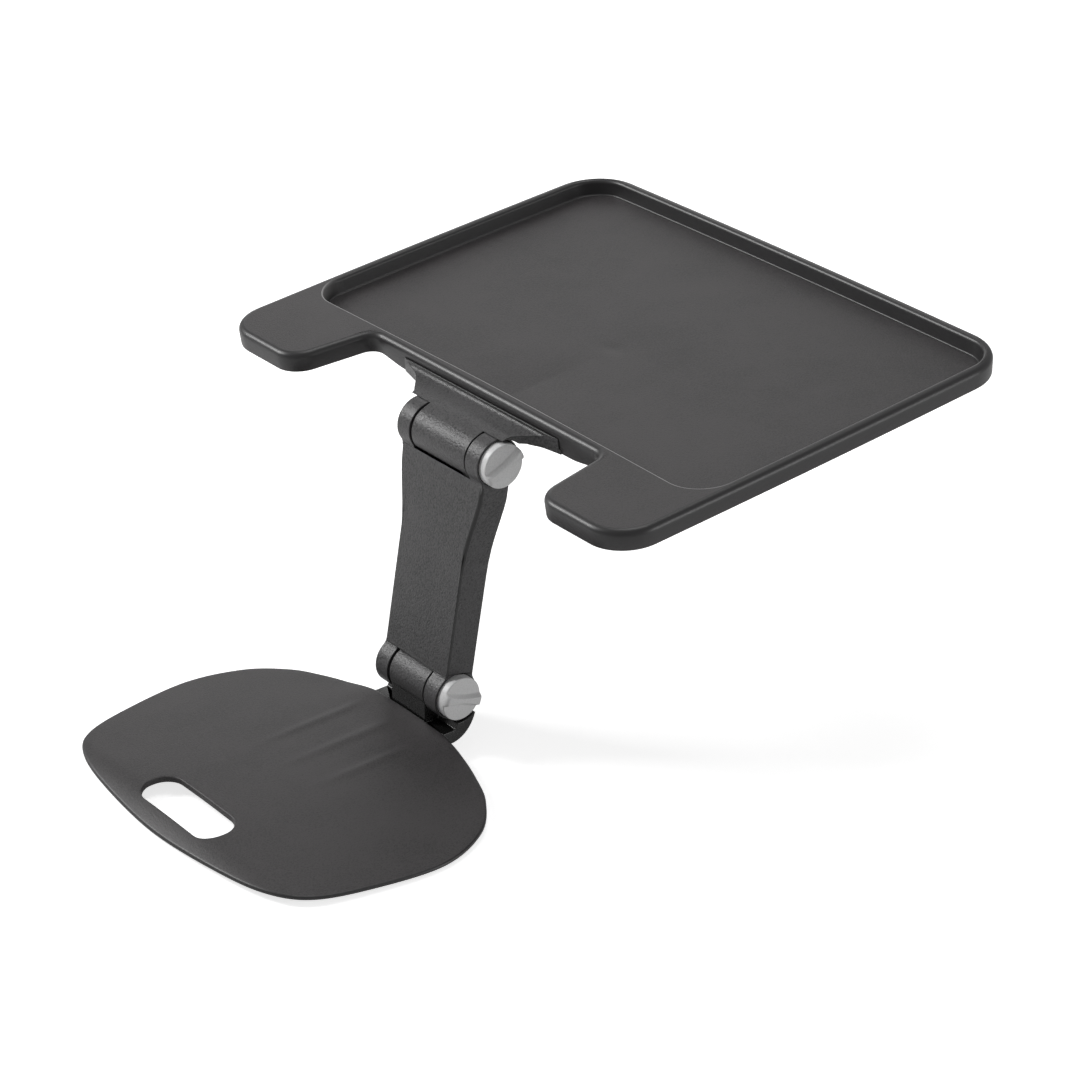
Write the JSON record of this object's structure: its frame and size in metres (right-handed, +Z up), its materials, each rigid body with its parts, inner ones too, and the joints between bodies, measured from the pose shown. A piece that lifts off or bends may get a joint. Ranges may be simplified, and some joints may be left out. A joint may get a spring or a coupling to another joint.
{
  "type": "lap desk",
  "caption": "Lap desk: rimmed tray with a belly notch on a folding arm with clamp knobs, held by a thin paddle that slides under the sitter.",
  "frame": {"origin": "on the seat plane, under the middle rib of the paddle, on the object's middle plane", "axes": "+X to the sitter's right, +Y away from the sitter, +Z up from the seat"},
  "size_m": [0.4446, 0.5711, 0.2715],
  "materials": {
    "black_plastic": "fine moulded grain, charcoal black",
    "grey_plastic": "satin mid grey",
    "steel": "zinc plated",
    "friction_fibre": "pressed fibre"
  },
  "bodies": {
    "seat": {"seat_paddle": "black_plastic", "seat_cradle": "black_plastic", "lower_sleeve": "steel", "cradle_screw_1": "steel", "cradle_screw_2": "steel", "cradle_screw_3": "steel", "cradle_screw_4": "steel"},
    "arm": {"arm_shell": "black_plastic", "arm_rear_cover": "black_plastic", "arm_cover_screw_1": "steel", "arm_cover_screw_2": "steel", "arm_cover_screw_3": "steel", "arm_cover_screw_4": "steel", "lower_nut": "steel", "lower_nut_cap": "black_plastic", "lower_friction_washer_left": "friction_fibre", "lower_friction_washer_right": "friction_fibre", "upper_nut": "steel", "upper_nut_cap": "black_plastic", "upper_friction_washer_left": "friction_fibre", "upper_friction_washer_right": "friction_fibre"},
    "tray": {"tray": "black_plastic", "tray_bracket": "black_plastic", "upper_sleeve": "steel", "bracket_screw_1": "steel", "bracket_screw_2": "steel", "bracket_screw_3": "steel", "bracket_screw_4": "steel", "bracket_screw_5": "steel", "bracket_screw_6": "steel"},
    "lower_knob": {"lower_knob": "grey_plastic", "lower_clamp_bolt": "steel"},
    "upper_knob": {"upper_knob": "grey_plastic", "upper_clamp_bolt": "steel"}
  },
  "joints": [
    {"name": "arm_fold", "type": "hinge", "parent": "seat", "child": "arm", "pos_m": [0, 0.074, 0.041], "axis": [1, 0, 0], "range_deg": [-15, 90]},
    {"name": "tray_tilt", "type": "hinge", "parent": "arm", "child": "tray", "pos_m": [0, 0.10456, 0.21433], "axis": [1, 0, 0], "range_deg": [-85, 20]},
    {"name": "lower_knob_turn", "type": "hinge", "parent": "arm", "child": "lower_knob", "pos_m": [0, 0.074, 0.041], "axis": [1, 0, 0], "range_deg": [0, 180]},
    {"name": "upper_knob_turn", "type": "hinge", "parent": "arm", "child": "upper_knob", "pos_m": [0, 0.10456, 0.21433], "axis": [1, 0, 0], "range_deg": [0, 180]}
  ]
}
